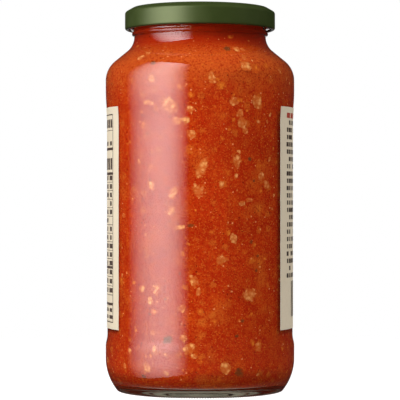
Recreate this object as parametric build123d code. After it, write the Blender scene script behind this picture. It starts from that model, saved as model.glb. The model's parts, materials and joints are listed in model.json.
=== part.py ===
from build123d import *

import os
from math import acos, atan2, cos, degrees, hypot, radians, sin, sqrt

# A glass jar of tomato sauce, shut by a steel lug cap, with a paper label round most of its body.
# Millimetres. The jar stands on z = 0, its axis is Z, and the side without a label faces -Y.
# Profiles are drawn as (radius, height) and turned about Z.

# Heights, from the surface the jar stands on.
overall_height = 168.0
heel_top = 14.5
heel_band_top = 19.5
panel_bottom = 25.0
panel_top = 116.0
shoulder_band_bottom = 132.0
shoulder_start = 136.0
neck_height = 155.4
bead_top = 157.4
sauce_level = 161.0

# Outside of the glass.
body_radius = 41.5
panel_radius = 40.75
heel_radius = 22.5
heel_corner_radius = 1.2
bearing_inner_radius = 33.2
push_up_height = 2.6
shoulder_radius = 11.0
neck_fillet_radius = 8.3
neck_radius = 28.95
bead_radius = 30.03
finish_radius = 29.3
rim_edge_radius = 1.0

# Inside of the glass.
bore_radius = 26.7
cavity_radius = 38.9
cavity_heel_radius = 8.4
cavity_floor = 4.5
cavity_floor_centre = 7.0
cavity_shoulder_radius = 8.5
cavity_neck_radius = 10.5
rim_bore_edge_radius = 0.8

# Screw ridges on the finish, in degrees about Z from +X, and the lugs that hook under them.
ridge_count = 4
ridge_low_end = -110.0
ridge_sweep = 80.0
ridge_rise = 2.6
ridge_low_height = 158.55
ridge_depth = 1.3
ridge_root = 1.7
ridge_crest = 0.9
lug_after_low_end = 57.0
lug_width = 12.0
lug_tip_radius = 29.7
lug_bottom = 158.45
lug_top = 159.3

# Steel cap, one sheet of even thickness.
sheet = 0.25
skirt_radius = 33.0
cap_corner_radius = 1.4
cap_corner_height = 165.2
cap_slope = 30.0
crown_edge_radius = 1.0
crown_inner_radius = 27.0
panel_edge_radius = 25.4
cap_panel_height = 166.7
button_foot_radius = 11.5
button_radius = 9.0
button_height = 167.1
button_centre_height = 166.95
curl_radius = 0.9
curl_height = 159.2
curl_turn = 300.0

# Paper label, with its two ends in degrees about Z from +X.
label_thickness = 0.15
label_bottom = 27.8
label_top = 123.9
label_start = -32.3
label_end = 211.2

upright = (0, 1)
outward = (1, 0)
rim_height = overall_height - sheet


def turned(edges, sweep=360):
    """The solid that a closed profile makes, turned about Z."""
    return revolve(Plane.XZ * make_face(edges), Axis.Z, sweep)


def s_bend(start, end, direction):
    """Two equal arcs that leave start and reach end in the same direction."""
    middle = ((start[0] + end[0]) / 2, (start[1] + end[1]) / 2)
    first = TangentArc(start, middle, tangent=direction)
    return [first, TangentArc(middle, end, tangent=first % 1)]


def moved_right(edge, distance):
    """A line or arc moved square to itself, to the right of its own direction."""
    points = [edge @ t + distance * Vector((edge % t).Y, -(edge % t).X) for t in (0, 0.5, 1)]
    if edge.geom_type == GeomType.LINE:
        return Line(points[0], points[2])
    return ThreePointArc(*points)


def heel():
    """Bearing corner and heel of the glass, up to the lower contact band."""
    centre_radius = body_radius - heel_radius
    reach = heel_radius - heel_corner_radius
    drop = heel_top - heel_corner_radius
    corner_centre = centre_radius + sqrt(reach**2 - drop**2)
    meet = -degrees(atan2(drop, corner_centre - centre_radius))
    corner = CenterArc((corner_centre, heel_corner_radius), heel_corner_radius, -90, 90 + meet)
    return [corner, CenterArc((centre_radius, heel_top), heel_radius, meet, -meet)]


def shoulder(wall_radius, convex_radius, waist_radius, hollow_radius):
    """Round shoulder, straight flank and hollow neck fillet, each tangent to the next."""
    low = (wall_radius - convex_radius, shoulder_start)
    high = (waist_radius + hollow_radius, neck_height)
    across = high[0] - low[0]
    up = high[1] - low[1]
    lean = degrees(atan2(up, across) - acos((convex_radius + hollow_radius) / hypot(across, up)))
    convex = CenterArc(low, convex_radius, 0, lean)
    hollow = CenterArc(high, hollow_radius, 180 + lean, -lean)
    return [convex, Line(convex @ 1, hollow @ 0), hollow]


def panel_flare():
    """The two arcs that carry the label panel out to the shoulder band."""
    return s_bend((panel_radius, panel_top), (body_radius, shoulder_band_bottom), upright)


def glass_outside():
    """Outer profile of the jar, from the middle of its base to the top of its finish."""
    base = heel()
    bearing_outer = base[0] @ 0
    bearing_inner = (bearing_inner_radius, 0)
    edges = [TangentArc((0, push_up_height), bearing_inner, tangent=outward)]
    edges += [Line(bearing_inner, bearing_outer)] + base
    edges += [Line(base[1] @ 1, (body_radius, heel_band_top))]
    edges += s_bend((body_radius, heel_band_top), (panel_radius, panel_bottom), upright)
    edges += [Line((panel_radius, panel_bottom), (panel_radius, panel_top))]
    edges += panel_flare()
    edges += [Line((body_radius, shoulder_band_bottom), (body_radius, shoulder_start))]
    edges += shoulder(body_radius, shoulder_radius, neck_radius, neck_fillet_radius)
    bead_middle = (bead_radius, (neck_height + bead_top) / 2)
    edges += [ThreePointArc((neck_radius, neck_height), bead_middle, (finish_radius, bead_top))]
    edge_start = rim_height - rim_edge_radius
    edges += [Line((finish_radius, bead_top), (finish_radius, edge_start))]
    edges += [CenterArc((finish_radius - rim_edge_radius, edge_start), rim_edge_radius, 0, 90)]
    return edges


def cavity(top):
    """Inner profile of the jar, from the middle of its floor up the bore to a given height."""
    floor_edge = (cavity_radius - cavity_heel_radius, cavity_floor)
    wall_foot = (cavity_radius, cavity_floor + cavity_heel_radius)
    edges = s_bend((0, cavity_floor_centre), floor_edge, outward)
    edges += [TangentArc(floor_edge, wall_foot, tangent=outward)]
    edges += [Line(wall_foot, (cavity_radius, shoulder_start))]
    edges += shoulder(cavity_radius, cavity_shoulder_radius, bore_radius, cavity_neck_radius)
    return edges + [Line((bore_radius, neck_height), (bore_radius, top))]


def screw_ridge(angle):
    """One sloping ridge of the finish, with rounded ends, from its low end at an angle."""
    foot = finish_radius - ridge_depth / 2
    reach = finish_radius + ridge_depth - foot
    root, crest = ridge_root / 2, ridge_crest / 2
    path = Helix(ridge_rise * 360 / ridge_sweep, ridge_rise, foot)
    outline = Polyline((0, -root), (reach, -crest), (reach, crest), (0, root), close=True)
    section = Plane(path @ 0, x_dir=(1, 0, 0), z_dir=path % 0) * make_face(outline)
    end = Cone(root, crest, reach, align=(Align.CENTER, Align.CENTER, Align.MIN))
    low_end = Plane((foot, 0, 0), z_dir=(1, 0, 0)) * end
    high_end = Pos(0, 0, ridge_rise) * Rot(0, 0, ridge_sweep) * low_end
    ridge = sweep(section, path, is_frenet=True) + low_end + high_end
    return Pos(0, 0, ridge_low_height) * Rot(0, 0, angle) * ridge


def jar():
    """The glass: outside and inside profiles joined by the sealing land, with its screw ridges."""
    bore_edge = rim_height - rim_bore_edge_radius
    land_inner = (bore_radius + rim_bore_edge_radius, rim_height)
    land_outer = (finish_radius - rim_edge_radius, rim_height)
    edges = glass_outside() + cavity(bore_edge)
    edges += [Line(land_outer, land_inner)]
    edges += [CenterArc((land_inner[0], bore_edge), rim_bore_edge_radius, 90, 90)]
    edges += [Line((0, push_up_height), (0, cavity_floor_centre))]
    glass = turned(edges)
    for k in range(ridge_count):
        glass += screw_ridge(ridge_low_end + k * 360 / ridge_count)
    return glass


def sauce():
    """The filling, against the glass all round, flat on top inside the neck."""
    edges = cavity(sauce_level)
    edges += [Line((bore_radius, sauce_level), (0, sauce_level))]
    edges += [Line((0, sauce_level), (0, cavity_floor_centre))]
    return turned(edges)


def cap_sheet():
    """Outer face of the pressed cap, from the middle of its panel to the end of its curled rim."""
    corner = (skirt_radius - cap_corner_radius, cap_corner_height)
    crown_edge_height = overall_height - crown_edge_radius
    drop = (crown_edge_height - corner[1]) * cos(radians(cap_slope)) + crown_edge_radius - cap_corner_radius
    crown_outer_radius = corner[0] - drop / sin(radians(cap_slope))
    edges = s_bend((0, button_centre_height), (button_radius, button_height), outward)
    edges += s_bend((button_radius, button_height), (button_foot_radius, cap_panel_height), outward)
    edges += [Line((button_foot_radius, cap_panel_height), (panel_edge_radius, cap_panel_height))]
    edges += s_bend((panel_edge_radius, cap_panel_height), (crown_inner_radius, overall_height), outward)
    edges += [Line((crown_inner_radius, overall_height), (crown_outer_radius, overall_height))]
    crown_edge = (crown_outer_radius, crown_edge_height)
    edges += [CenterArc(crown_edge, crown_edge_radius, 90, -cap_slope)]
    shoulder_arc = CenterArc(corner, cap_corner_radius, 90 - cap_slope, cap_slope - 90)
    edges += [Line(edges[-1] @ 1, shoulder_arc @ 0), shoulder_arc]
    edges += [Line((skirt_radius, cap_corner_height), (skirt_radius, curl_height))]
    curl_centre = (skirt_radius - curl_radius, curl_height)
    edges += [CenterArc(curl_centre, curl_radius, 0, -curl_turn)]
    return edges


def lug(angle):
    """One lug, pressed inwards from the curl to hook under a ridge, centred at an angle."""
    curl_middle = skirt_radius - curl_radius
    inner, outer = (lug_tip_radius, lug_bottom), (curl_middle, lug_top)
    profile = Polyline(inner, (outer[0], inner[1]), outer, (inner[0], outer[1]), close=True)
    return Rot(0, 0, angle - lug_width / 2) * turned(profile, lug_width)


def lid():
    """The cap: one pressed sheet with a raised crown, a button and a curled rim with lugs."""
    outer = cap_sheet()
    inner = [moved_right(edge, sheet) for edge in outer]
    middle = Line(outer[0] @ 0, inner[0] @ 0)
    curl_end = Line(outer[-1] @ 1, inner[-1] @ 1)
    cap = turned(outer + [curl_end] + inner + [middle])
    for k in range(ridge_count):
        cap += lug(ridge_low_end + lug_after_low_end + k * 360 / ridge_count)
    return cap


def label():
    """The paper, wrapped on the panel and a little up its flare, open at the bare side."""
    flare_radius = panel_flare()[0].radius
    flare_centre = panel_radius + flare_radius
    rise = label_top - panel_top
    outer_radius = panel_radius + label_thickness
    inner_top = (flare_centre - sqrt(flare_radius**2 - rise**2), label_top)
    outer_top = (flare_centre - sqrt((flare_radius - label_thickness) ** 2 - rise**2), label_top)
    edges = [Line((panel_radius, label_bottom), (panel_radius, panel_top))]
    edges += [TangentArc((panel_radius, panel_top), inner_top, tangent=upright)]
    edges += [Line(inner_top, outer_top)]
    edges += [TangentArc((outer_radius, panel_top), outer_top, tangent=upright)]
    edges += [Line((outer_radius, panel_top), (outer_radius, label_bottom))]
    edges += [Line((outer_radius, label_bottom), (panel_radius, label_bottom))]
    return Rot(0, 0, label_start) * turned(edges, label_end - label_start)


os.makedirs("parts", exist_ok=True)
for name, build in {"jar": jar, "lid": lid, "sauce": sauce, "label": label}.items():
    export_step(build(), f"parts/{name}.step")
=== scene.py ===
import json
from math import acos, atan2, cos, degrees, hypot, pi, radians, sin, sqrt

import bmesh
import bpy
import numpy as np
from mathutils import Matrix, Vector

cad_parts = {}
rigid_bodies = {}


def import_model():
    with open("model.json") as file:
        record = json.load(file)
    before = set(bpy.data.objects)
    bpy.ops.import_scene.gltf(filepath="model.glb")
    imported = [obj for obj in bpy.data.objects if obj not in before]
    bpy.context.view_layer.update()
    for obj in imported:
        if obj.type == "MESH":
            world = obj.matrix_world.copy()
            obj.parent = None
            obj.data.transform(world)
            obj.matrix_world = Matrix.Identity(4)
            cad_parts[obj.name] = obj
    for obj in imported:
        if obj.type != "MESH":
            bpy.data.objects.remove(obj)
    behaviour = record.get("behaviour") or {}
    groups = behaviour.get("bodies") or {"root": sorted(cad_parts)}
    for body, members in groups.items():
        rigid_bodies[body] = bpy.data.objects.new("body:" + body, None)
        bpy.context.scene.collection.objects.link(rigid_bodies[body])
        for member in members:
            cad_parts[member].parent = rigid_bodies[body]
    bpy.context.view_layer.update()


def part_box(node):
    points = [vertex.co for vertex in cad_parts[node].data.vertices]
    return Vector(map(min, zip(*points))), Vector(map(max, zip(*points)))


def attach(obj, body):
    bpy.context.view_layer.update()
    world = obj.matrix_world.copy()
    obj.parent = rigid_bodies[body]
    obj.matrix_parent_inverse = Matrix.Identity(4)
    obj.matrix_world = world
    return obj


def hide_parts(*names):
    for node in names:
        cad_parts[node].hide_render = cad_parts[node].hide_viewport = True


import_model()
mm = 0.001


# ---------------------------------------------------------------------------------------------
# The glass jar: blown soda-lime glass, with a recessed panel for the label between two contact
# bands, a round shoulder, a bead and four screw ridges at the finish, and a knurled bearing ring.
# Profiles are complex numbers in millimetres, radius + height * 1j.

body_radius = round(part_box("jar")[1].x / mm, 1)
rim_height = round(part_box("jar")[1].z / mm, 2)
panel_radius = 40.75
heel_radius, heel_top, heel_band_top = 22.5, 14.5, 19.5
heel_corner_radius = 1.2
bearing_inner_radius = 33.2
push_up_height = 2.6
panel_bottom, panel_top = 25.0, 116.0
shoulder_band_bottom, shoulder_start = 132.0, 136.0
shoulder_radius = 11.0
neck_height, neck_radius, neck_fillet_radius = 155.4, 28.95, 8.3
bead_top = 157.4
finish_radius = 29.3
rim_edge_radius, rim_bore_edge_radius = 1.0, 0.8
bore_radius = 26.7
cavity_radius, cavity_heel_radius = 38.9, 8.4
cavity_floor, cavity_floor_centre = 4.5, 7.0
cavity_shoulder_radius, cavity_neck_radius = 8.5, 10.5
ridge_count, ridge_low_end, ridge_sweep = 4, -110.0, 80.0
ridge_rise, ridge_low_height = 2.6, 158.55
ridge_depth, ridge_root, ridge_crest = 1.3, 1.7, 0.9
knurl_height, knurl_outer_radius, knurl_inner_fade, knurl_outer_fade = 0.4, 37.2, 0.3, 1.2
glass_columns = 400
sharp_from = 35.0

glass_tint = (0.93, 0.955, 0.93, 1)
glass_shade = (0.96, 0.965, 0.95, 1)
glass_roughness, glass_index = 0.03, 1.5
glass_wave_scale, glass_wave_detail, glass_wave_height = 70, 5, 0.00012


def line(start, end, steps):
    """Points on a straight run, after its start."""
    return list(start + (end - start) * np.arange(1, steps + 1) / steps)


def arc(centre, radius, first, sweep, steps):
    """Points on an arc about a centre, in degrees, after its start."""
    turn = np.radians(first + sweep * np.arange(1, steps + 1) / steps)
    return list(centre + radius * np.exp(1j * turn))


def bend(start, end, heading, steps):
    """Points on an arc that leaves start along heading and reaches end, after its start."""
    half_turn = np.angle((end - start) / heading)
    share = np.arange(1, steps + 1) / steps
    reach = (np.exp(2j * half_turn * share) - 1) / (np.exp(2j * half_turn) - 1)
    return list(start + (end - start) * reach)


def s_bend(start, end, heading, steps):
    """Points on two equal arcs that leave start and reach end in the same direction."""
    first = bend(start, (start + end) / 2, heading, steps)
    return first + [start + end - p for p in first[-2::-1]] + [end]


def shoulder(wall, convex, waist, hollow):
    """Round shoulder, straight flank and hollow neck fillet, after the top of the wall."""
    low = wall - convex + shoulder_start * 1j
    high = waist + hollow + neck_height * 1j
    across, up = (high - low).real, (high - low).imag
    lean = degrees(atan2(up, across) - acos((convex + hollow) / hypot(across, up)))
    points = arc(low, convex, 0, lean, 18)
    points += line(points[-1], high + hollow * np.exp(1j * radians(180 + lean)), 4)
    return points + arc(high, hollow, 180 + lean, -lean, 16)


def cavity(top, grow=0.0):
    """Inner profile from the middle of the floor up to a height, moved out by grow."""
    wall = cavity_radius + grow
    heel_bend = cavity_heel_radius + grow
    floor_edge = cavity_radius - cavity_heel_radius + (cavity_floor - grow) * 1j
    points = [(cavity_floor_centre - grow) * 1j]
    points += s_bend(points[0], floor_edge, 1, 6)
    points += arc(floor_edge + heel_bend * 1j, heel_bend, -90, 90, 14)
    points += line(points[-1], wall + shoulder_start * 1j, 8)
    bore = bore_radius + grow
    points += shoulder(wall, cavity_shoulder_radius + grow, bore, cavity_neck_radius - grow)
    return points + line(points[-1], bore + top * 1j, 4)


def glass_outside():
    """Outer profile from the middle of the base to the top of the finish."""
    heel_centre = body_radius - heel_radius + heel_top * 1j
    drop = heel_top - heel_corner_radius
    corner_centre = heel_centre.real + sqrt((heel_radius - heel_corner_radius) ** 2 - drop**2)
    meet = -degrees(atan2(drop, corner_centre - heel_centre.real))
    points = [push_up_height * 1j]
    points += bend(points[0], bearing_inner_radius + 0j, 1, 10)
    points += line(points[-1], corner_centre + 0j, 5)
    points += arc(corner_centre + heel_corner_radius * 1j, heel_corner_radius, -90, 90 + meet, 4)
    points += arc(heel_centre, heel_radius, meet, -meet, 24)
    points += line(points[-1], body_radius + heel_band_top * 1j, 2)
    points += s_bend(points[-1], panel_radius + panel_bottom * 1j, 1j, 4)
    points += line(points[-1], panel_radius + panel_top * 1j, 10)
    points += s_bend(points[-1], body_radius + shoulder_band_bottom * 1j, 1j, 5)
    points += line(points[-1], body_radius + shoulder_start * 1j, 2)
    points += shoulder(body_radius, shoulder_radius, neck_radius, neck_fillet_radius)
    points += bend(points[-1], finish_radius + bead_top * 1j, 1, 9)
    edge_start = rim_height - rim_edge_radius
    points += line(points[-1], finish_radius + edge_start * 1j, 34)
    edge_centre = finish_radius - rim_edge_radius + edge_start * 1j
    return points + arc(edge_centre, rim_edge_radius, 0, 90, 5)


def put(name, data):
    """A new object in the scene, for a mesh, a lamp or a camera."""
    made = bpy.data.objects.new(name, data)
    bpy.context.scene.collection.objects.link(made)
    return made


def turned(name, profile, columns, relief=None):
    """A closed mesh from a profile that runs from axis to axis with its solid on the left."""
    profile = np.array(profile)
    angles = 2 * pi * np.arange(columns) / columns
    radius = np.repeat(profile.real[1:-1, None], columns, axis=1)
    height = np.repeat(profile.imag[1:-1, None], columns, axis=1)
    if relief:
        radius, height = relief(radius, height, angles)
    rows = len(radius)
    grid = np.stack([radius * np.cos(angles), radius * np.sin(angles), height], axis=2)
    poles = [[0, 0, profile[0].imag], [0, 0, profile[-1].imag]]
    points = np.vstack([grid.reshape(-1, 3), poles]) * mm
    here = np.arange(columns)
    after = (here + 1) % columns
    faces = []
    for i in range(rows - 1):
        low, high = i * columns, (i + 1) * columns
        faces += np.stack([low + here, low + after, high + after, high + here], axis=1).tolist()
    last = (rows - 1) * columns
    faces += [(rows * columns, b, a) for a, b in zip(here.tolist(), after.tolist())]
    faces += [(rows * columns + 1, last + a, last + b) for a, b in zip(here.tolist(), after.tolist())]
    mesh = bpy.data.meshes.new(name)
    mesh.from_pydata(points.tolist(), [], faces)
    mesh.shade_smooth()
    mesh.set_sharp_from_angle(angle=radians(sharp_from))
    return put(name, mesh)


def finish_relief(radius, height, angles):
    """Raises the screw ridges on the finish, and the knurls on the bearing ring."""
    radius, height = radius.copy(), height.copy()
    on_finish = (abs(radius - finish_radius) < 0.001) & (height > bead_top)
    half = np.array([finish_radius * radians(ridge_sweep) / 2, ridge_rise / 2])
    for k in range(ridge_count):
        middle = radians(ridge_low_end + ridge_sweep / 2 + k * 360 / ridge_count)
        along = finish_radius * np.angle(np.exp(1j * (angles - middle))) + 0 * height
        above = height - ridge_low_height - ridge_rise / 2
        share = np.clip((along * half[0] + above * half[1]) / (half @ half), -1, 1)
        away = np.hypot(along - share * half[0], above - share * half[1])
        slope = np.clip((ridge_root / 2 - away) / (ridge_root / 2 - ridge_crest / 2), 0, 1)
        radius += np.where(on_finish, ridge_depth * slope * slope * (3 - 2 * slope), 0)
    under = np.clip((radius - bearing_inner_radius) / knurl_inner_fade, 0, 1)
    under *= np.clip((knurl_outer_radius - radius) / knurl_outer_fade, 0, 1) * (height < heel_top)
    hollow = np.arange(glass_columns) % 2
    return radius, height + knurl_height * under * hollow


def node(tree, kind, inputs=None, **settings):
    """Adds a node, sets its properties, and links or sets its inputs by name or number."""
    made = tree.nodes.new(kind)
    for key, value in settings.items():
        setattr(made, key, value)
    for key, value in (inputs or {}).items():
        if isinstance(value, bpy.types.NodeSocket):
            tree.links.new(value, made.inputs[key])
        else:
            made.inputs[key].default_value = value
    return made


def material(name):
    """An empty material with its output, and its object coordinates."""
    made = bpy.data.materials.new(name)
    made.use_nodes = True
    made.node_tree.nodes.clear()
    output = node(made.node_tree, "ShaderNodeOutputMaterial")
    place = node(made.node_tree, "ShaderNodeTexCoord").outputs["Object"]
    return made, made.node_tree, output, place


def noise(tree, place, scale, detail=2.0, **more):
    """The grey value of a noise pattern."""
    return node(tree, "ShaderNodeTexNoise", {
        "Vector": place, "Scale": scale, "Detail": detail, **more,
    }).outputs[0]


def bump(tree, height, depth, strength=1.0, **more):
    """A normal roughened by a height pattern, up to a depth in metres."""
    return node(tree, "ShaderNodeBump", {
        "Height": height, "Distance": depth, "Strength": strength, **more,
    }).outputs[0]


glass, tree, output, place = material("clear_glass")
wave = noise(tree, place, glass_wave_scale, glass_wave_detail)
clear = node(tree, "ShaderNodeBsdfPrincipled", {
    "Base Color": glass_tint, "Roughness": glass_roughness, "IOR": glass_index,
    "Transmission Weight": 1, "Normal": bump(tree, wave, glass_wave_height),
})
passing = node(tree, "ShaderNodeBsdfTransparent", {"Color": glass_shade})
shadow_ray = node(tree, "ShaderNodeLightPath").outputs["Is Shadow Ray"]
both = node(tree, "ShaderNodeMixShader", {0: shadow_ray, 1: clear.outputs[0], 2: passing.outputs[0]})
tree.links.new(both.outputs[0], output.inputs[0])

profile = glass_outside()
land_inner = bore_radius + rim_bore_edge_radius + rim_height * 1j
bore_edge = rim_height - rim_bore_edge_radius
profile += line(profile[-1], land_inner, 2)
profile += arc(land_inner - rim_bore_edge_radius * 1j, rim_bore_edge_radius, 90, 90, 4)
profile += cavity(bore_edge)[-2::-1]
jar = turned("glass_jar", profile, glass_columns, finish_relief)
jar.data.materials.append(glass)
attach(jar, "root")
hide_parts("jar")


# ---------------------------------------------------------------------------------------------
# The sauce: cooked tomato, hot filled, against the glass all round. It reaches just into the
# glass wall, so that no air shows between. Pulp, oil and bits of skin make it mottled.

sauce_grip = 0.15
sauce_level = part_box("sauce")[1].z / mm
sauce_columns = 200
sauce_to_glass, mirror_roughness = 0.895, 0.05

sauce_red = (0.51, 0.031, 0.0040, 1)
sauce_deep = (0.34, 0.012, 0.0020, 1)
sauce_orange = (0.60, 0.076, 0.0070, 1)
pulp_amber = (0.72, 0.21, 0.024, 1)
skin_dark = (0.10, 0.006, 0.002, 1)
cream_speck = (0.82, 0.33, 0.12, 1)
# Painted light: a lighter, more orange colour at the shoulder stands in for the light that falls on it
# from above.
shoulder_painted_light = (0.63, 0.112, 0.017, 1)
# Painted shade: a darker red at the neck stands in for the shadow of the cap's overhang.
neck_painted_shade = (0.35, 0.012, 0.0015, 1)
# Painted light: a brighter red in the finish, just under the cap, lightens the cap's shadow there.
finish_painted_light = (0.90, 0.050, 0.006, 1)
spot_rag_fineness, spot_solid = 3.0, 0.45
coarse_clouds = [
    # scale, from, to, detail, colour, share
    (60, 0.38, 0.66, 3, sauce_deep, 0.45), (110, 0.50, 0.74, 3, sauce_orange, 0.7),
    (85, 0.56, 0.74, 3, pulp_amber, 0.35), (420, 0.46, 0.72, 4, sauce_orange, 0.6),
]
fine_clouds = [(1200, 0.48, 0.66, 2, sauce_deep, 0.75), (1700, 0.54, 0.72, 2, pulp_amber, 0.5)]
pulp_share, speck_share = 0.35, 0.8
shoulder_light_low, shoulder_light_high, shoulder_light_share = 0.124, 0.142, 0.6
neck_shade_low, neck_shade_high, neck_shade_share = 0.1440, 0.1525, 0.85
finish_light_low, finish_light_high, finish_light_share = 0.1550, 0.1580, 0.8
pulp_grain_scale, pulp_grain_depth, pulp_grain_strength, pulp_roughness = 900, 0.0003, 0.3, 0.55


def maths(tree, operation, first, second):
    """The result of one sum on two values or sockets."""
    return node(tree, "ShaderNodeMath", {0: first, 1: second}, operation=operation).outputs[0]


def ramp(tree, value, low, high, start=0.0, end=1.0, smooth=False):
    """A value that goes from start to end while another goes from low to high."""
    made = node(tree, "ShaderNodeMapRange", {
        "Value": value, "From Min": low, "From Max": high, "To Min": start, "To Max": end,
    })
    made.interpolation_type = "SMOOTHSTEP" if smooth else "LINEAR"
    return made.outputs[0]


def node_group(name, kind, inputs, output):
    """An empty node group with its inputs and its output, and the sockets that give the inputs."""
    tree = bpy.data.node_groups.new(name, kind)
    for key, socket in inputs.items():
        tree.interface.new_socket(key, in_out="INPUT", socket_type=f"NodeSocket{socket}")
    key, socket = output
    tree.interface.new_socket(key, in_out="OUTPUT", socket_type=f"NodeSocket{socket}")
    return tree, node(tree, "NodeGroupInput").outputs


def spots_group():
    """Scattered soft spots: one in a share of the cells of a pattern holds a spot."""
    inputs = {"Vector": "Vector", **dict.fromkeys(("Scale", "Size", "Share", "Ragged"), "Float")}
    tree, given = node_group("Spots", "ShaderNodeTree", inputs, ("Mask", "Float"))
    cells = node(tree, "ShaderNodeTexVoronoi", {"Vector": given["Vector"], "Scale": given["Scale"]})
    rag = noise(tree, given["Vector"], maths(tree, "MULTIPLY", given["Scale"], spot_rag_fineness))
    rag = maths(tree, "MULTIPLY", maths(tree, "SUBTRACT", rag, 0.5), given["Ragged"])
    away = maths(tree, "ADD", cells.outputs["Distance"], rag)
    solid = maths(tree, "MULTIPLY", given["Size"], spot_solid)
    spot = ramp(tree, away, solid, given["Size"], 1.0, 0.0, smooth=True)
    lot = node(tree, "ShaderNodeSeparateColor", {0: cells.outputs["Color"]}).outputs[0]
    held = maths(tree, "LESS_THAN", lot, given["Share"])
    node(tree, "NodeGroupOutput", {"Mask": maths(tree, "MULTIPLY", spot, held)})
    return tree


spots = spots_group()


def spotted(tree, place, **sizes):
    """The mask of one set of spots in a material."""
    inputs = {"Vector": place, **{key.capitalize(): value for key, value in sizes.items()}}
    return node(tree, "ShaderNodeGroup", inputs, node_tree=spots).outputs["Mask"]


def mottle(tree, place, scale, low, high, detail=3.0):
    """A noise stretched between two levels, as a mask."""
    return ramp(tree, noise(tree, place, scale, detail), low, high)


def mixed(tree, share, first, second, strength=1.0):
    """One colour turned into another by a mask, up to a strength."""
    if strength != 1.0:
        share = maths(tree, "MULTIPLY", share, strength)
    return node(tree, "ShaderNodeMix", {0: share, 6: first, 7: second}, data_type="RGBA").outputs[2]


def rising(tree, place, low, high):
    """A mask that rises from 0 to 1 between two heights."""
    height = node(tree, "ShaderNodeSeparateXYZ", {0: place}).outputs[2]
    return ramp(tree, height, low, high, smooth=True)


def clouded(tree, place, colour, clouds):
    """A colour with clouds of other colours over it, each with its pattern, colour and share."""
    for scale, low, high, detail, tint, share in clouds:
        colour = mixed(tree, mottle(tree, place, scale, low, high, detail), colour, tint, share)
    return colour


def sauce_colour_group():
    """The sauce colour at a place: clouded red pulp, painted light at shoulder and finish, painted shade
    at the neck.
    """
    tree, given = node_group("Sauce colour", "ShaderNodeTree", {"Vector": "Vector"}, ("Color", "Color"))
    place = given["Vector"]
    colour = clouded(tree, place, sauce_red, coarse_clouds)
    pulpy = spotted(tree, place, scale=210, size=0.42, share=0.22, ragged=0.5)
    colour = mixed(tree, pulpy, colour, pulp_amber, pulp_share)
    # Painted light: the colour turns lighter and more orange up the shoulder, as if lit from above.
    top_lit = rising(tree, place, shoulder_light_low, shoulder_light_high)
    colour = mixed(tree, top_lit, colour, shoulder_painted_light, shoulder_light_share)
    colour = clouded(tree, place, colour, fine_clouds)
    # Painted shade: darker red up the neck, where the cap casts its shadow.
    colour = mixed(tree, rising(tree, place, neck_shade_low, neck_shade_high), colour, neck_painted_shade, neck_shade_share)
    # Painted light: brighter red in the finish, against the cap's shadow.
    colour = mixed(tree, rising(tree, place, finish_light_low, finish_light_high), colour, finish_painted_light, finish_light_share)
    node(tree, "NodeGroupOutput", {"Color": colour})
    return tree


sauce_colours = sauce_colour_group()


def sauce_colour(tree, place):
    """The colour of the sauce in a material."""
    return node(tree, "ShaderNodeGroup", {"Vector": place}, node_tree=sauce_colours).outputs["Color"]


sauce_paint, tree, output, place = material("tomato_sauce")
skins = spotted(tree, place, scale=620, size=0.26, share=0.10, ragged=0.3)
colour = mixed(tree, skins, sauce_colour(tree, place), skin_dark, speck_share)
specks = spotted(tree, place, scale=520, size=0.24, share=0.10, ragged=0.4)
colour = mixed(tree, specks, colour, cream_speck, speck_share)
lumpy = bump(tree, noise(tree, place, pulp_grain_scale, 3), pulp_grain_depth, pulp_grain_strength)
pulp = node(tree, "ShaderNodeBsdfPrincipled", {
    "Base Color": colour, "Roughness": pulp_roughness, "Specular IOR Level": 0, "Normal": lumpy,
})

# Seen at a slant from inside the thick base, the sauce mirrors, as the glass is denser than it.
mirror = node(tree, "ShaderNodeBsdfGlossy", {"Roughness": mirror_roughness})
slant = node(tree, "ShaderNodeFresnel", {"IOR": sauce_to_glass})
seen = node(tree, "ShaderNodeMixShader", {0: slant.outputs[0], 1: pulp.outputs[0], 2: mirror.outputs[0]})
tree.links.new(seen.outputs[0], output.inputs[0])

sauce_profile = cavity(sauce_level, sauce_grip)
sauce = turned("tomato_sauce", sauce_profile + [sauce_level * 1j], sauce_columns)
sauce.data.materials.append(sauce_paint)
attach(sauce, "root")
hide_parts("sauce")


# ---------------------------------------------------------------------------------------------
# What is cooked into the sauce and rests against the glass: crumbled onion and garlic, amber bits
# of tomato flesh, seeds, and flecks of basil. Each kind is one piece, set in the face of the sauce.
# Places are in degrees from the bare side's middle, to the right, and millimetres from the base.

onion_lumps = [
    # angle, height, width, tallness
    (30, 140, 4.6, 4.0), (31, 143, 2.6, 4.0), (-19, 124, 7.2, 6.6), (-33, 125, 4.6, 2.4),
    (-31, 135, 3.2, 3.4), (-14, 117, 4.0, 3.6), (-9, 117, 3.6, 4.0), (-6, 122, 3.4, 4.0),
    (21, 125, 4.6, 4.0), (25, 120, 3.6, 3.4), (27, 116, 4.0, 4.6), (38, 125, 4.6, 6.0),
    (29, 113, 3.2, 2.6), (-5, 111, 3.4, 4.4), (1, 97, 4.4, 8.0), (23, 100, 4.4, 5.6),
    (41, 94, 3.0, 4.0), (45, 90, 3.4, 4.2), (-1, 88, 5.6, 6.2), (13, 90, 2.4, 3.4),
    (-16, 87, 3.6, 5.4), (-31, 90, 3.4, 5.0), (-18, 79, 3.4, 4.4), (-13, 72, 5.0, 2.4),
    (14, 59, 4.8, 2.6), (-4, 50, 3.8, 6.0), (32, 44, 7.0, 5.2), (-38, 46, 3.4, 3.0),
    (-27, 47, 2.8, 2.8), (-32, 41, 3.4, 3.4), (-11, 38, 3.4, 3.4), (-7, 21, 5.0, 4.8),
    (-4, 18, 2.8, 2.4), (38, 21, 3.4, 5.0), (16, 13, 4.4, 4.8), (-34, 13, 3.8, 3.8),
]
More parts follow.
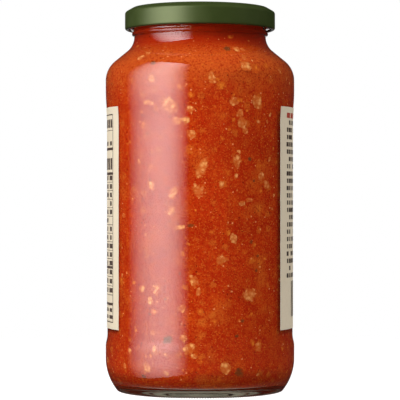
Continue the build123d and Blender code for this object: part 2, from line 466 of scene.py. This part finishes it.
flesh_bits = [
    (9, 105, 3.4, 2.8), (17, 95, 5.2, 5.2), (13, 132, 4.6, 4.0), (-12, 131, 3.0, 3.6), (-5, 128, 3.2, 3.0),
    (36, 139, 5.4, 3.6), (0, 37, 4.4, 3.4), (-9, 47, 3.4, 3.0), (9, 33, 3.4, 3.8), (-11, 61, 3.0, 2.6),
]
basil_flecks = [
    (21, 147, 4.4, 3.0), (-31, 141, 3.0, 2.0), (25, 11, 4.4, 4.0), (-6, 73, 3.4, 2.0),
    (33, 66, 2.0, 1.6), (32, 101, 2.2, 2.2), (-20, 25, 4.6, 3.6), (-37, 9, 2.6, 1.6),
    (-70, 148, 2.6, 1.8), (38, 60, 1.6, 1.4),
]

onion_cream = (0.90, 0.43, 0.13, 1)
onion_amber = (0.64, 0.135, 0.018, 1)
flesh_amber = (0.82, 0.26, 0.025, 1)
flesh_edge = (0.60, 0.10, 0.010, 1)
seed_pale = (0.84, 0.34, 0.14, 1)
basil_green = (0.125, 0.046, 0.014, 1)
basil_edge = (0.30, 0.060, 0.012, 1)

faded_rim = 1.18
rag_scale, rag_depth = 800, 1.8
grain_edge, grain_lot = (0.15, 0.7), (0.2, 0.7)
haze_share, bit_roughness, bit_grain_depth, bit_grain_strength = 0.6, 0.5, 0.0002, 0.4
shape_count, lump_waves, lump_wave_pitch, lump_wave_gain = 8, 9, 2.6, 3
lens_lift, lens_sink, lens_thickness = 1.25, 0.25, 0.3
heel_points = 14
side = np.array(sauce_profile[heel_points:])


def on_sauce(angle, height):
    """Points on the sauce's face, in metres, and the directions square to it."""
    step = 0.4
    radius = np.interp(height, side.imag, side.real)
    slope = np.interp(height + step, side.imag, side.real)
    slope = (slope - np.interp(height - step, side.imag, side.real)) / (2 * step)
    across = np.stack([np.sin(np.radians(angle)), -np.cos(np.radians(angle))], axis=1)
    outward = np.column_stack([across, -slope])
    outward /= np.linalg.norm(outward, axis=1)[:, None]
    return np.column_stack([across * radius[:, None], height]) * mm, outward


def bit_points(name, placed, count, widths, heights, rise, seed):
    """A mesh of bare points for the bits of one kind: those listed, then scattered ones."""
    chance = np.random.default_rng(seed)
    angle = chance.uniform(-180, 180, count)
    height = chance.uniform(*heights, count)
    width = widths[0] + (widths[1] - widths[0]) * chance.random(count) ** 2
    tall = width * chance.uniform(0.6, 1.4, count)
    scattered = np.column_stack([angle, height, width, tall])
    every = np.vstack([np.array(placed).reshape(-1, 4), scattered])
    points, outward = on_sauce(every[:, 0], every[:, 1])
    mesh = bpy.data.meshes.new(name)
    mesh.from_pydata(points.tolist(), [], [])
    reach = every[:, 2:] * faded_rim / 2
    size = np.column_stack([reach, np.full(len(every), rise)]) * mm
    for key, values in {"outward": outward, "size": size}.items():
        attribute = mesh.attributes.new(key, "FLOAT_VECTOR", "POINT")
        attribute.data.foreach_set("vector", values.astype(np.float32).ravel())
    return mesh


def bits_tree():
    """Geometry nodes that set one of a few shapes on each point, turned to face outwards."""
    inputs = {"Geometry": "Geometry", "Shapes": "Collection", "Turn": "Float", "Seed": "Int",
              "Material": "Material"}
    tree, given = node_group("Bits on the glass", "GeometryNodeTree", inputs, ("Geometry", "Geometry"))
    shapes = node(tree, "GeometryNodeCollectionInfo",
                  {"Collection": given["Shapes"], "Separate Children": True})
    outward, size = [
        node(tree, "GeometryNodeInputNamedAttribute", {"Name": name}, data_type="FLOAT_VECTOR").outputs[0]
        for name in ("outward", "size")
    ]
    facing = node(tree, "FunctionNodeAlignRotationToVector", {"Vector": outward}, axis="Z")
    upright = node(tree, "FunctionNodeAlignRotationToVector",
                   {"Rotation": facing.outputs[0], "Vector": (0, 0, 1)}, axis="Y", pivot_axis="Z")
    back = maths(tree, "MULTIPLY", given["Turn"], -1.0)
    turn = node(tree, "FunctionNodeRandomValue", {2: back, 3: given["Turn"]})
    tree.links.new(given["Seed"], turn.inputs["Seed"])
    spin = node(tree, "FunctionNodeAxisAngleToRotation", {"Angle": turn.outputs[1]})
    facing = node(tree, "FunctionNodeRotateRotation",
                  {0: upright.outputs[0], 1: spin.outputs[0]}, rotation_space="LOCAL")
    pick = node(tree, "FunctionNodeRandomValue", {"Seed": given["Seed"]}, data_type="INT")
    pick.inputs[5].default_value = shape_count - 1
    placed = node(tree, "GeometryNodeInstanceOnPoints", {
        "Points": given["Geometry"], "Instance": shapes.outputs[0],
        "Instance Index": pick.outputs[2], "Rotation": facing.outputs[0], "Scale": size,
        "Pick Instance": True,
    })
    real = node(tree, "GeometryNodeRealizeInstances", {0: placed.outputs[0]})
    painted = node(tree, "GeometryNodeSetMaterial", {0: real.outputs[0], 2: given["Material"]})
    node(tree, "NodeGroupOutput", {0: painted.outputs[0]})
    return tree


def bit_shapes(name, detail, ragged, seed):
    """A collection of rough unit lumps, flat behind; each point keeps how far in it lies."""
    chance = np.random.default_rng(seed)
    group = bpy.data.collections.new(name)
    for k in range(shape_count):
        bm = bmesh.new()
        bmesh.ops.create_icosphere(bm, subdivisions=detail, radius=1)
        waves = chance.normal(size=(lump_waves, 3)) * lump_wave_pitch
        phases = chance.uniform(0, 2 * pi, lump_waves)
        for v in bm.verts:
            rough = np.sin(waves @ np.array(v.co) + phases).mean() * lump_wave_gain
            v.co *= 1 + ragged * rough
        depths = [max(v.co.z, 0.0) ** 2 for v in bm.verts]
        for v in bm.verts:
            behind = max(min(v.co.z, 0.0), -lens_thickness)
            v.co.z = lens_lift * max(v.co.z, 0.0) ** 3 - lens_sink + behind
        mesh = bpy.data.meshes.new(f"{name}_{k}")
        bm.to_mesh(mesh)
        bm.free()
        inset = mesh.attributes.new("inset", "FLOAT", "POINT")
        inset.data.foreach_set("value", depths)
        group.objects.link(bpy.data.objects.new(f"{name}_{k}", mesh))
    bpy.context.scene.collection.children.link(group)
    return group


def grown(name, tree, start, **values):
    """The plain mesh that a tree makes from a starting mesh, as a new piece."""
    piece = put(name, start)
    modifier = piece.modifiers.new("Grown", "NODES")
    modifier.node_group = tree
    for socket in tree.interface.items_tree:
        if socket.in_out == "INPUT" and socket.name.lower() in values:
            modifier[socket.identifier] = values[socket.name.lower()]
    graph = bpy.context.evaluated_depsgraph_get()
    mesh = bpy.data.meshes.new_from_object(piece.evaluated_get(graph))
    piece.modifiers.remove(modifier)
    piece.data = mesh
    mesh.name = name
    return piece


def bit_paint(name, middle, edge, haze, crumbs, grain_scale, grain_share):
    """The colour of one kind of bit: grains in a haze that thins into the sauce towards the edge."""
    paint, tree, output, place = material(name)
    inset = node(tree, "ShaderNodeAttribute", attribute_name="inset").outputs["Fac"]
    rag = maths(tree, "SUBTRACT", noise(tree, place, rag_scale, 4), 0.5)
    rag = maths(tree, "MULTIPLY", rag, rag_depth)
    depth = maths(tree, "ADD", inset, rag)
    hazy = ramp(tree, depth, *haze, smooth=True)
    solid = ramp(tree, depth, *crumbs, smooth=True)
    cells = node(tree, "ShaderNodeTexVoronoi", {"Vector": place, "Scale": grain_scale})
    grain = ramp(tree, cells.outputs["Distance"], *grain_edge, 1.0, 1 - grain_share)
    lot = node(tree, "ShaderNodeSeparateColor", {0: cells.outputs["Color"]}).outputs[0]
    lot = ramp(tree, lot, *grain_lot, 1 - grain_share)
    seen = maths(tree, "MULTIPLY", maths(tree, "MULTIPLY", grain, lot), solid)
    colour = mixed(tree, hazy, sauce_colour(tree, place), edge, haze_share)
    colour = mixed(tree, seen, colour, middle)
    facing = node(tree, "ShaderNodeAttribute", attribute_name="outward").outputs["Vector"]
    flesh = node(tree, "ShaderNodeBsdfPrincipled", {
        "Base Color": colour, "Roughness": bit_roughness, "Specular IOR Level": 0,
        "Normal": bump(tree, grain, bit_grain_depth, bit_grain_strength, Normal=facing),
    })
    tree.links.new(flesh.outputs[0], output.inputs[0])
    return paint


bits = bits_tree()
lump_shapes = bit_shapes("lump_shape", 2, 0.16, 11)
crumb_shapes = bit_shapes("crumb_shape", 1, 0.2, 12)
contents = {
    # name: shapes, listed places, count, widths, heights, rise, turn, seed, paint
    "onion_crumbs": (lump_shapes, onion_lumps, 210, (0.8, 3.6), (5, 153), 0.15, 0.5, 21, bit_paint(
        "cooked_onion", onion_cream, onion_amber, (-0.2, 0.8), (0.1, 0.7), 640, 0.85)),
    "tomato_flesh": (crumb_shapes, flesh_bits, 320, (0.7, 3.4), (5, 154), 0.14, 3.2, 22, bit_paint(
        "tomato_flesh", flesh_amber, flesh_edge, (-0.1, 0.9), (0.3, 1.0), 800, 0.7)),
    "tomato_seeds": (crumb_shapes, [], 360, (0.4, 1.1), (4, 155), 0.12, 3.2, 23, bit_paint(
        "tomato_seed", seed_pale, flesh_amber, (0.3, 0.8), (0.4, 0.9), 900, 0.2)),
    "basil_flecks": (crumb_shapes, basil_flecks, 34, (0.7, 2.6), (5, 152), 0.13, 3.2, 24, bit_paint(
        "cooked_basil", basil_green, basil_edge, (-0.3, 0.6), (0.0, 0.7), 1200, 0.4)),
}
for name, (shapes, placed, count, widths, heights, rise, turn, seed, paint) in contents.items():
    points = bit_points(name, placed, count, widths, heights, rise, seed)
    piece = grown(name, bits, points, shapes=shapes, turn=turn, seed=seed, material=paint)
    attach(piece, "root")
for group in (lump_shapes, crumb_shapes):
    for shape in list(group.objects):
        bpy.data.objects.remove(shape)
    bpy.data.collections.remove(group)


# ---------------------------------------------------------------------------------------------
# The cap: one sheet of tinplate, pressed with a button and a raised crown, curled at its rim, with
# four lugs that hook under the screw ridges. It is coated with green enamel on the outside.

sheet = 0.25
cap_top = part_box("lid")[1].z / mm
skirt_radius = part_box("lid")[1].x / mm
cap_corner_radius, cap_corner_height, cap_slope = 1.4, 165.2, 30.0
crown_edge_radius, crown_inner_radius = 1.0, 27.0
cap_panel_radius, cap_panel_height = 25.4, 166.7
button_foot_radius, button_radius = 11.5, 9.0
button_height, button_centre_height = 167.1, 166.95
curl_radius, curl_height, curl_turn = 0.9, 159.2, 300.0
lug_after_low_end, lug_half_width, lug_fade, lug_reach = 57.0, 6.0, 1.5, 1.4
cap_columns = 240

enamel_green = (0.030, 0.045, 0.009, 1)
enamel_light = (0.036, 0.052, 0.012, 1)
enamel_shine = (0.95, 1, 0.65, 1)
dust_grey, dust_share = (0.10, 0.12, 0.08, 1), 0.5
enamel_clouds, enamel_roughness = (120, 0.3, 0.7), (0.34, 0.39)
peel_scale, peel_depth, peel_strength = 1600, 0.00004, 0.35


def cap_outside():
    """Outer face of the pressed sheet, from the middle of the button to the end of the curl."""
    corner = skirt_radius - cap_corner_radius + cap_corner_height * 1j
    lean = radians(cap_slope)
    drop = (cap_top - crown_edge_radius - corner.imag) * cos(lean)
    drop += crown_edge_radius - cap_corner_radius
    crown_edge = corner.real - drop / sin(lean) + (cap_top - crown_edge_radius) * 1j
    points = [button_centre_height * 1j]
    points += s_bend(points[-1], button_radius + button_height * 1j, 1, 5)
    points += s_bend(points[-1], button_foot_radius + cap_panel_height * 1j, 1, 4)
    points += line(points[-1], cap_panel_radius + cap_panel_height * 1j, 6)
    points += s_bend(points[-1], crown_inner_radius + cap_top * 1j, 1, 5)
    points += line(points[-1], crown_edge.real + cap_top * 1j, 3)
    points += arc(crown_edge, crown_edge_radius, 90, -cap_slope, 5)
    points += line(points[-1], corner + cap_corner_radius * np.exp(1j * (pi / 2 - lean)), 3)
    points += arc(corner, cap_corner_radius, 90 - cap_slope, cap_slope - 90, 9)
    points += line(points[-1], skirt_radius + curl_height * 1j, 7)
    curl = skirt_radius - curl_radius + curl_height * 1j
    return points + arc(curl, curl_radius, 0, -curl_turn, 26)


def lug_relief(radius, height, angles):
    """Presses the inner side of the curl inwards at the four lugs."""
    spans = radians(ridge_low_end + lug_after_low_end) + np.arange(ridge_count) * 2 * pi / ridge_count
    gaps = abs(np.angle(np.exp(1j * (angles[:, None] - spans[None, :])))).min(axis=1)
    window = np.clip((radians(lug_half_width) - gaps) / radians(lug_fade), 0, 1)
    inner = skirt_radius - curl_radius
    deep = np.clip((inner - radius) / curl_radius, 0, 1) * (height < curl_height + curl_radius)
    deep *= radius > inner - 2 * curl_radius
    return radius - lug_reach * deep * window, height


enamel, tree, output, place = material("green_enamel")
cloud = mottle(tree, place, *enamel_clouds)
peel = bump(tree, noise(tree, place, peel_scale), peel_depth, peel_strength)
dust = spotted(tree, place, scale=420, size=0.12, share=0.05, ragged=0.2)
colour = mixed(tree, cloud, enamel_green, enamel_light)
colour = mixed(tree, dust, colour, dust_grey, dust_share)
gloss = ramp(tree, cloud, 0.0, 1.0, *enamel_roughness)
paint = node(tree, "ShaderNodeBsdfPrincipled", {
    "Base Color": colour, "Roughness": gloss, "Specular Tint": enamel_shine, "Normal": peel,
})
tree.links.new(paint.outputs[0], output.inputs[0])

outside = np.array(cap_outside())
along = np.gradient(outside)
inside = outside - 1j * sheet * along / abs(along)
inside[0] = 1j * (button_centre_height - sheet)
cap = turned("screw_cap", list(inside) + list(outside[::-1]), cap_columns, lug_relief)
cap.data.materials.append(enamel)
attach(cap, "root")
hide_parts("lid")


# ---------------------------------------------------------------------------------------------
# The label: uncoated cream paper, glued round the recessed panel and a little up its flare. It
# leaves the bare side open. It is cut square and drawn flat here, arc length along x and height
# along y in millimetres, then wrapped on the glass.

label_low, label_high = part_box("label")[0].z / mm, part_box("label")[1].z / mm
label_start, label_end = -32.3, 211.2
label_middle = (label_start + label_end) / 2
label_half_length = panel_radius * radians(label_end - label_start) / 2
glue_gap, paper_face, ink_face = 0.02, 0.13, 0.15
flare_swell = (body_radius - panel_radius) / 2
flare_rise = (shoulder_band_bottom - panel_top) / 2
flare_radius = (flare_swell**2 + flare_rise**2) / (2 * flare_swell)
wrap_step, flare_step = 1.2, 2.0

paper_cream = (0.76, 0.65, 0.485, 1)
paper_fleck = (0.62, 0.50, 0.34, 1)
paper_clouds = [(900, 0.5, 0.8, 4, paper_fleck, 0.35), (60, 0.4, 0.7, 3, paper_fleck, 0.10)]
paper_roughness, paper_shine = 0.75, 0.3
fibre_scale, fibre_twist, fibre_depth, fibre_strength = 1300, 1.5, 0.0001, 0.5
cockle_scale, cockle_depth, cockle_strength = 90, 0.00025, 0.4


def wrapped(name, flat, inner, outer, paint):
    """A flat bmesh, cut into narrow strips, given a thickness and wrapped on the label panel."""
    cuts = [((x, 0, 0), (1, 0, 0)) for x in np.arange(-label_half_length, label_half_length, wrap_step)]
    cuts += [((0, y, 0), (0, 1, 0)) for y in np.arange(panel_top, label_high, flare_step)]
    for place, across in cuts:
        every = flat.verts[:] + flat.edges[:] + flat.faces[:]
        bmesh.ops.bisect_plane(flat, geom=every, plane_co=place, plane_no=across)
    raised = bmesh.ops.extrude_face_region(flat, geom=flat.faces[:])["geom"]
    bmesh.ops.translate(flat, verts=[v for v in raised if isinstance(v, bmesh.types.BMVert)],
                        vec=(0, 0, outer - inner))
    bmesh.ops.recalc_face_normals(flat, faces=flat.faces[:])
    for v in flat.verts:
        up = max(v.co.y - panel_top, 0)
        radius = panel_radius + flare_radius - sqrt(flare_radius**2 - up**2) + inner + v.co.z
        angle = radians(label_middle) + v.co.x / panel_radius
        v.co = (radius * cos(angle) * mm, radius * sin(angle) * mm, v.co.y * mm)
    mesh = bpy.data.meshes.new(name)
    flat.to_mesh(mesh)
    flat.free()
    mesh.materials.clear()
    mesh.materials.append(paint)
    mesh.shade_smooth()
    mesh.set_sharp_from_angle(angle=radians(sharp_from))
    piece = put(name, mesh)
    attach(piece, "root")
    return piece


def flat_shapes(outlines):
    """A flat bmesh that holds one face for each outline of (x, y) points."""
    flat = bmesh.new()
    for outline in outlines:
        flat.faces.new([flat.verts.new((x, y, 0)) for x, y in outline])
    return flat


def bar(left, right, low, high):
    """The outline of an upright rectangle."""
    return [(left, low), (right, low), (right, high), (left, high)]


paper, tree, output, place = material("label_paper")
fibres = noise(tree, place, fibre_scale, 5, Distortion=fibre_twist)
colour = clouded(tree, place, paper_cream, paper_clouds)
wavy = bump(tree, noise(tree, place, cockle_scale, 1), cockle_depth, cockle_strength)
sheet_paint = node(tree, "ShaderNodeBsdfPrincipled", {
    "Base Color": colour, "Roughness": paper_roughness, "Specular IOR Level": paper_shine,
    "Normal": bump(tree, fibres, fibre_depth, fibre_strength, Normal=wavy),
})
tree.links.new(sheet_paint.outputs[0], output.inputs[0])

label_outline = bar(-label_half_length, label_half_length, label_low, label_high)
label = wrapped("paper_label", flat_shapes([label_outline]), glue_gap, paper_face, paper)
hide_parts("label")


# ---------------------------------------------------------------------------------------------
# The print on the label: offset ink in plain fields, rules and bars, with no words. A ruled table
# is at one end, rows of small marks at the other, and a plain tomato in a green panel between.

end_margin = 5.8
table_width, table_low, table_high = 44.0, 30.8, 120.6
thin_rule, thick_rule = 0.24, 1.15
table_rules = [113.8, *np.linspace(91.4, 58.2, 10), 50.5, 46.5, 42.6]
thick_rules = [105.8, 95.1, 54.5, 38.6]
text_margin, text_indent, text_pitch, text_rows, text_top, text_width = 6.1, 1.2, 3.15, 22, 117.2, 42.0
heading_low, heading_high, heading_pitch, heading_length, heading_count = 119.2, 121.4, 5.4, 4.2, 8
title_low, title_high, title_pitch, title_count = 115.0, 118.6, 3.2, 12
value_low, value_high, value_pitch, value_count = 96.8, 101.8, 3.0, 5
letter_share, letter_margin, mark_margin = 0.74, 0.8, 2.7
shortest_mark, kept_marks = 0.45, 0.88
table_marks = [
    # lowest row, rows, from lowest to highest, height of a mark, seed
    (108.2, 2, 3.2, 1.8, 3), (56.35, 11, 36.9, 2.0, 4), (40.6, 4, 11.9, 2.0, 5), (33.0, 2, 3.0, 1.6, 8),
]
stripe_low, stripe_high, stripe_count, stripe_margin, stripe_pitch = 33.0, 48.5, 22, 6.4, 1.4
stripe_thinnest, stripe_thickest = 0.35, 1.0

ink_brown = (0.040, 0.019, 0.012, 1)
ink_green = (0.035, 0.075, 0.018, 1)
ink_red = (0.42, 0.030, 0.012, 1)
ink_wear, ink_roughness = [(1500, 0.55, 0.8, 3, paper_cream, 0.25)], 0.6


def ink(name, colour):
    """Printing ink that has sunk a little into the paper."""
    paint, tree, output, place = material(name)
    worn = clouded(tree, place, colour, ink_wear)
    printed = node(tree, "ShaderNodeBsdfPrincipled", {"Base Color": worn, "Roughness": ink_roughness})
    tree.links.new(printed.outputs[0], output.inputs[0])
    return paint


def marks_tree():
    """Geometry nodes for rows of short flat bars of uneven length, with some left out."""
    inputs = {"Geometry": "Geometry", **dict.fromkeys(("Across", "Rows", "Seed"), "Int"),
              **dict.fromkeys(("Width", "Tall", "Longest", "Height"), "Float"), "Material": "Material"}
    tree, given = node_group("Rows of marks", "GeometryNodeTree", inputs, ("Geometry", "Geometry"))
    places = node(tree, "GeometryNodeMeshGrid", {
        "Size X": given["Width"], "Size Y": given["Tall"],
        "Vertices X": given["Across"], "Vertices Y": given["Rows"],
    })
    mark = node(tree, "GeometryNodeMeshGrid",
                {"Size X": 1.0, "Size Y": 1.0, "Vertices X": 2, "Vertices Y": 2})
    share = node(tree, "FunctionNodeRandomValue", {2: shortest_mark, 3: 1.0, "Seed": given["Seed"]})
    length = maths(tree, "MULTIPLY", share.outputs[1], given["Longest"])
    scale = node(tree, "ShaderNodeCombineXYZ", {0: length, 1: given["Height"], 2: 1.0})
    kept = node(tree, "FunctionNodeRandomValue", {"Seed": given["Seed"]}, data_type="BOOLEAN")
    kept.inputs["Probability"].default_value = kept_marks
    placed = node(tree, "GeometryNodeInstanceOnPoints", {
        "Points": places.outputs[0], "Instance": mark.outputs[0],
        "Selection": kept.outputs[3], "Scale": scale.outputs[0],
    })
    real = node(tree, "GeometryNodeRealizeInstances", {0: placed.outputs[0]})
    inked = node(tree, "GeometryNodeSetMaterial", {0: real.outputs[0], 2: given["Material"]})
    node(tree, "NodeGroupOutput", {0: inked.outputs[0]})
    return tree


marks = marks_tree()
dark_ink = ink("dark_ink", ink_brown)


def rows_of_marks(flat, left, low, **sizes):
    """Adds rows of marks to a flat bmesh, from their left and lowest places."""
    piece = grown("marks", marks, bpy.data.meshes.new("marks"), material=dark_ink, **sizes)
    start = len(flat.verts)
    flat.from_mesh(piece.data)
    flat.verts.ensure_lookup_table()
    shift = (left + sizes["width"] / 2, low + sizes["tall"] / 2, 0)
    bmesh.ops.translate(flat, verts=flat.verts[start:], vec=shift)
    bpy.data.objects.remove(piece)


# The ruled table ends at the side that faces left, where x is largest.
table_right = label_half_length - end_margin
table_left = table_right - table_width
edges = (table_low, table_high)
outlines = []
for thickness, heights in ((thin_rule, table_rules), (thick_rule, thick_rules), (2 * thin_rule, edges)):
    outlines += [bar(table_left, table_right, z - thickness / 2, z + thickness / 2) for z in heights]
outlines += [bar(x - thin_rule, x + thin_rule, *edges) for x in (table_left, table_right)]
for pitch, count, low, high in (
    (title_pitch, title_count, title_low, title_high), (value_pitch, value_count, value_low, value_high),
):
    rights = table_right - letter_margin - pitch * np.arange(count)
    outlines += [bar(right - letter_share * pitch, right, low, high) for right in rights]

# Rows of small print, and plain stripes below them, are at the side that faces right.
text_left = -label_half_length + text_margin
text_tall = (text_rows - 1) * text_pitch
chance = np.random.default_rng(7)
for k in range(stripe_count):
    left = text_left + stripe_margin + k * stripe_pitch
    thickness = chance.uniform(stripe_thinnest, stripe_thickest)
    outlines.append(bar(left, left + thickness, stripe_low, stripe_high))
dark = flat_shapes(outlines)
for low, rows, tall, height, seed in table_marks:
    rows_of_marks(dark, table_left + mark_margin, low, across=7, rows=rows, tall=tall,
                  width=table_width - 2 * mark_margin, longest=4.8, height=height, seed=seed)
rows_of_marks(dark, text_left + text_indent, text_top - text_tall, across=15, rows=text_rows,
              width=text_width, tall=text_tall, longest=2.8, height=1.9, seed=6)
wrapped("small_print", dark, paper_face, ink_face, dark_ink)

# The front panel: a green field with a window, and a plain tomato in the window.
front_half_width, front_low, front_high = 33.0, 34.0, 118.0
window_half_width, window_low, window_high = 27.0, 44.0, 96.0
tomato_height, tomato_half_width, tomato_half_tall = 68.0, 18.0, 15.5
stalk_height, stalk_half_width, stalk_half_tall, stalk_ripple = 80.0, 6.5, 4.2, 0.45
ring_points, stalk_points, stalk_face = 64, 60, ink_face + 0.02


def ring(half_width, half_tall, height, count, ripple=0.0):
    """A closed round outline about the middle of the front, with an optional star ripple."""
    turns = 2 * pi * np.arange(count) / count
    reach = 1 + ripple * np.cos(5 * turns)
    return [(half_width * r * sin(t), height - half_tall * r * cos(t)) for t, r in zip(turns, reach)]


green = flat_shapes([
    bar(-front_half_width, front_half_width, window_high, front_high),
    bar(-front_half_width, front_half_width, front_low, window_low),
    bar(-front_half_width, -window_half_width, window_low, window_high),
    bar(window_half_width, front_half_width, window_low, window_high),
])
wrapped("green_field", green, paper_face, ink_face, ink("green_ink", ink_green))
red_outlines = [ring(tomato_half_width, tomato_half_tall, tomato_height, ring_points)]
for k in range(heading_count):
    left = text_left + k * heading_pitch
    red_outlines.append(bar(left, left + heading_length, heading_low, heading_high))
wrapped("red_print", flat_shapes(red_outlines), paper_face, ink_face, ink("red_ink", ink_red))
stalk = flat_shapes([ring(stalk_half_width, stalk_half_tall, stalk_height, stalk_points, stalk_ripple)])
wrapped("tomato_stalk", stalk, ink_face, stalk_face, ink("stalk_ink", ink_green))


# ---------------------------------------------------------------------------------------------
# The studio: a white backdrop just larger than the view in a dark room, a round white table
# top, a tall softbox at the left, a fill and a top light, and the camera level with the jar.

camera_distance, camera_height, camera_lens = 0.821, 0.08367, 167.8
glossy_bounces = 12
fill_level, base_level, base_fade = 0.10, 0.3, 0.2
room_level = 0.02
backdrop_edge = (0.975, 0.992)
table_glow, table_glow_through_glass, table_white = 0.90, 0.20, 0.35
plain_white, glass_edge_olive = (1, 1, 1, 1), (1, 0.90, 0.68, 1)
table_radius, table_fade, table_sides = 0.34, 0.16, 96
softbox_azimuth, softbox_distance = -58.0, 0.8
softbox_width, softbox_low, softbox_high = 1.656, -0.456, 1.36
softbox_far_fade, softbox_near_fade = (0.08, 0.60), (1.0, 0.62)
softbox_low_level, softbox_low_end = 0.3, 0.35
softbox_power = 68
key_azimuth, key_distance, key_height, key_size, key_power = -38, 0.9, 0.6, 0.75, 14.2
fill_azimuth, fill_distance, fill_height, fill_size, fill_power = 90, 1.0, 0.7, 0.9, 9.4
top_place, top_target, top_size, top_power = (-0.2, -0.3, 1.1), (0, 0, 0.1), 0.7, 1
jar_middle = (0, 0, 0.084)


def seen_directly(tree):
    """1 for what the camera sees straight, in gloss or through glass, and 0 for other light."""
    path = node(tree, "ShaderNodeLightPath").outputs
    total = maths(tree, "ADD", path["Is Camera Ray"], path["Is Glossy Ray"])
    total = node(tree, "ShaderNodeMath", {0: total, 1: path["Is Transmission Ray"]}, use_clamp=True)
    first = maths(tree, "LESS_THAN", path["Diffuse Depth"], 0.5)
    return maths(tree, "MULTIPLY", total.outputs[0], first)


world = bpy.data.worlds.new("studio")
bpy.context.scene.world = world
world.use_nodes = True
tree = world.node_tree
tree.nodes.clear()
toward = node(tree, "ShaderNodeTexCoord").outputs["Generated"]
depth = node(tree, "ShaderNodeSeparateXYZ", {0: toward}).outputs[1]
world_path = node(tree, "ShaderNodeLightPath").outputs
shown = maths(tree, "MAXIMUM", ramp(tree, depth, *backdrop_edge, room_level), world_path["Is Camera Ray"])

# Light that the thick base has carried inside itself comes out dim and olive.
inner = maths(tree, "GREATER_THAN", world_path["Glossy Depth"], 0.5)
inner = maths(tree, "MULTIPLY", inner, world_path["Is Transmission Ray"])
dimmed = ramp(tree, depth, base_fade, 1.0, 0.0, base_level)
shown = node(tree, "ShaderNodeMix", {0: inner, 2: shown, 3: dimmed})
level = node(tree, "ShaderNodeMix", {0: seen_directly(tree), 2: fill_level, 3: shown.outputs[0]})
sky = node(tree, "ShaderNodeBackground", {"Strength": level.outputs[0]})
tree.links.new(mixed(tree, inner, plain_white, glass_edge_olive), sky.inputs["Color"])
tree.links.new(sky.outputs[0], node(tree, "ShaderNodeOutputWorld").inputs[0])

table_mesh = bpy.data.meshes.new("table_top")
rim = table_radius * np.exp(2j * pi * np.arange(table_sides) / table_sides)
table_mesh.from_pydata([(p.real, p.imag, 0) for p in rim], [], [list(range(table_sides))])
table = put("table_top", table_mesh)
table.visible_glossy = False
paint, tree, output, place = material("white_table")
card = node(tree, "ShaderNodeBsdfDiffuse", {"Color": (table_white, table_white, table_white, 1)})
table_path = node(tree, "ShaderNodeLightPath").outputs
straight = maths(tree, "MULTIPLY", table_path["Is Camera Ray"], table_glow)
through = maths(tree, "MULTIPLY", table_path["Is Transmission Ray"], table_glow_through_glass)
glow = node(tree, "ShaderNodeEmission", {"Strength": maths(tree, "ADD", straight, through)})
tree.links.new(mixed(tree, table_path["Is Transmission Ray"], plain_white, glass_edge_olive),
               glow.inputs["Color"])
look = node(tree, "ShaderNodeAddShader", {0: card.outputs[0], 1: glow.outputs[0]})
out_from_middle = node(tree, "ShaderNodeVectorMath", {0: place}, operation="LENGTH").outputs["Value"]
fade = ramp(tree, out_from_middle, table_fade, table_radius, smooth=True)
gone = node(tree, "ShaderNodeBsdfTransparent")
faded = node(tree, "ShaderNodeMixShader", {0: fade, 1: look.outputs[0], 2: gone.outputs[0]})
tree.links.new(faded.outputs[0], output.inputs[0])
table_mesh.materials.append(paint)


def direction(azimuth, distance, height):
    """A place beside the jar, azimuth in degrees from the camera side to the right."""
    return (distance * sin(radians(azimuth)), -distance * cos(radians(azimuth)), height)


def lamp(name, place, target, width, tall, power, **seen):
    """A rectangular soft lamp that faces a target; what it is left out of is passed as False."""
    light = bpy.data.lights.new(name, "AREA")
    light.shape = "RECTANGLE"
    light.size, light.size_y, light.energy = width, tall, power
    made = put(name, light)
    made.location = place
    aim = Vector(target) - Vector(place)
    made.rotation_euler = aim.to_track_quat("-Z", "Y").to_euler()
    made.visible_camera = False
    made.visible_transmission = False
    for key, value in seen.items():
        setattr(made, f"visible_{key}", value)
    return made


softbox_height = (softbox_low + softbox_high) / 2
lamp("softbox", direction(key_azimuth, key_distance, key_height), jar_middle,
     key_size, key_size, key_power, glossy=False)
softbox = lamp("softbox_gloss", direction(softbox_azimuth, softbox_distance, softbox_height),
               (0, 0, softbox_height), softbox_width, softbox_high - softbox_low, softbox_power,
               diffuse=False)
softbox.data.use_nodes = True
tree = softbox.data.node_tree
on_lamp = node(tree, "ShaderNodeSeparateXYZ",
               {0: node(tree, "ShaderNodeNewGeometry").outputs["Parametric"]}).outputs
across, upward = on_lamp[0], on_lamp[1]
far = ramp(tree, across, *softbox_far_fade, smooth=True)
near = ramp(tree, across, *softbox_near_fade, smooth=True)
low = ramp(tree, upward, 0.0, softbox_low_end, softbox_low_level)
share = maths(tree, "MULTIPLY", maths(tree, "MULTIPLY", far, near), low)
tree.links.new(share, tree.nodes["Emission"].inputs["Strength"])
lamp("fill", direction(fill_azimuth, fill_distance, fill_height), jar_middle,
     fill_size, fill_size, fill_power, glossy=False)
lamp("top_light", top_place, top_target, top_size, top_size, top_power, glossy=False)

camera_data = bpy.data.cameras.new("camera")
camera_data.lens = camera_lens
camera = put("camera", camera_data)
camera.location = (0, -camera_distance, camera_height)
camera.rotation_euler = (pi / 2, 0, 0)
bpy.context.scene.camera = camera
bpy.context.scene.view_settings.view_transform = "Standard"
bpy.context.scene.cycles.glossy_bounces = glossy_bounces

bpy.context.view_layer.update()
